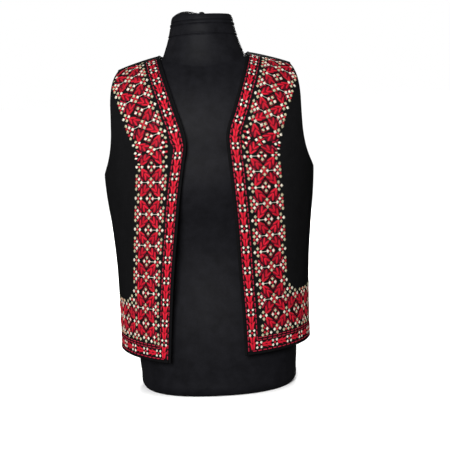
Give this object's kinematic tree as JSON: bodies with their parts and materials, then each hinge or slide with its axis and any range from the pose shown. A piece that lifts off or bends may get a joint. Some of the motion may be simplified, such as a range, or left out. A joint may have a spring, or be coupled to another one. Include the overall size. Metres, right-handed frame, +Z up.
{
  "type": "embroidered folk vest on a dress form",
  "caption": "Open-fronted sleeveless folk vest with embroidered lattice bands on its fronts and hem, worn by a limbless dress form that stands on its flat underside.",
  "frame": {"origin": "centre of the flat underside of the dress form", "axes": "+Z up, the open front of the vest faces -Y, +X towards the wearer's left"},
  "size_m": [0.412, 0.2549, 0.739],
  "materials": {
    "felted_wool": "matt felted wool with a short nap",
    "embroidery_thread": "lustrous satin stitches of stranded thread",
    "binding_tape": "matt folded cotton tape",
    "form_jersey": "smooth stretched knit jersey over a padded form"
  },
  "bodies": {
    "root": {"front_right": "felted_wool", "front_left": "felted_wool", "back": "felted_wool", "band_right": "embroidery_thread", "band_left": "embroidery_thread", "band_back": "embroidery_thread", "binding_right": "binding_tape", "binding_left": "binding_tape", "binding_neck": "binding_tape", "binding_hem": "binding_tape", "dress_form": "form_jersey"}
  },
  "joints": []
}
